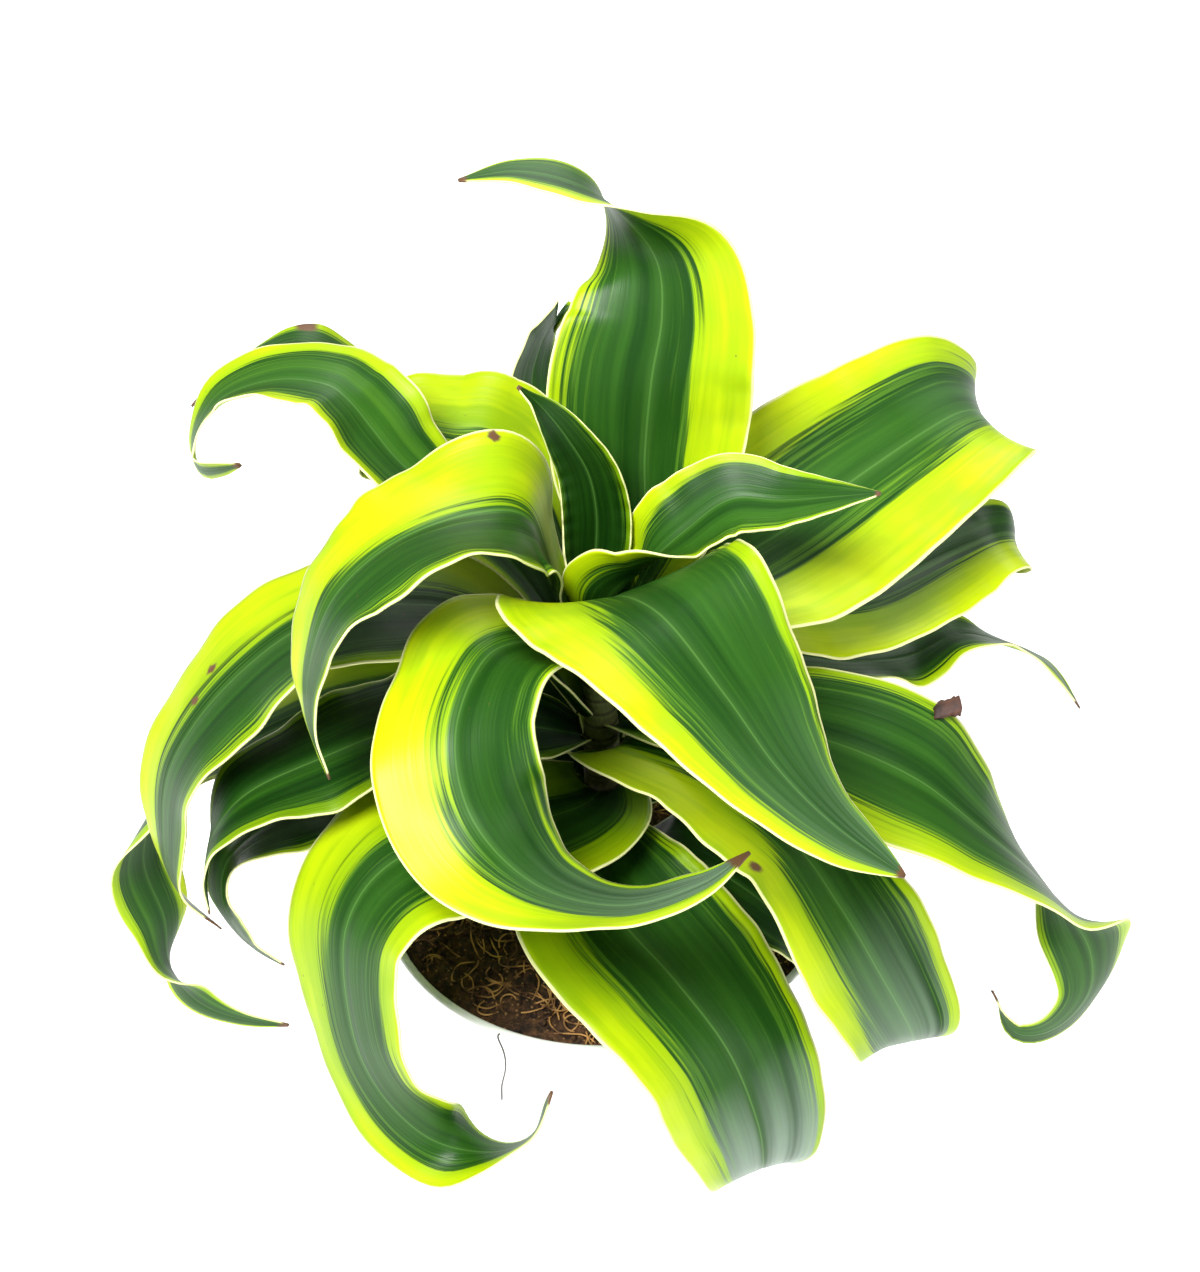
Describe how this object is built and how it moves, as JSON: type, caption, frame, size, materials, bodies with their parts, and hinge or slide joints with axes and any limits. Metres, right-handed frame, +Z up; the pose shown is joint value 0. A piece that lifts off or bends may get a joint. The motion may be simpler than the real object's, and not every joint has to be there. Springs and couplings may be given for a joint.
{
  "type": "potted twisted-leaf dracaena",
  "caption": "Bushy houseplant with long arching, curling dark green leaves with lime margins, in a plain white nursery pot.",
  "frame": {"origin": "centre of the pot's foot, on the surface that the pot stands on", "axes": "+Z up along the pot's axis, -Y towards the viewer of the picture, +X to that viewer's right"},
  "size_m": [0.3584, 0.2759, 0.3908],
  "materials": {
    "pot": "satin white moulded plastic",
    "soil": "dark peat and coir fibre",
    "stem": "dull green-brown bark",
    "leaf": "smooth waxy leaf, dark green centre, lime margins"
  },
  "bodies": {
    "root": {"pot": "pot", "soil": "soil", "stem": "stem", "leaf_heart_left": "leaf", "leaf_heart_right": "leaf", "leaf_front_broad": "leaf", "leaf_left_curl": "leaf", "leaf_front_curl": "leaf", "leaf_back_upright": "leaf", "leaf_right_broad": "leaf", "leaf_left_lime": "leaf", "leaf_left_arch": "leaf", "leaf_left_far": "leaf", "leaf_back_small": "leaf", "leaf_left_outer": "leaf", "leaf_right_under": "leaf", "leaf_right_ribbon": "leaf", "leaf_right_twist": "leaf", "leaf_right_drop": "leaf", "leaf_left_inner": "leaf", "leaf_front_left_curl": "leaf", "leaf_left_low_twist": "leaf", "leaf_left_low": "leaf", "leaf_front_drop": "leaf", "leaf_right_low": "leaf", "leaf_back_left": "leaf", "leaf_back_drop": "leaf", "leaf_back_right": "leaf", "leaf_back_left_low": "leaf", "leaf_back_low": "leaf", "leaf_right_back_low": "leaf"}
  },
  "joints": []
}
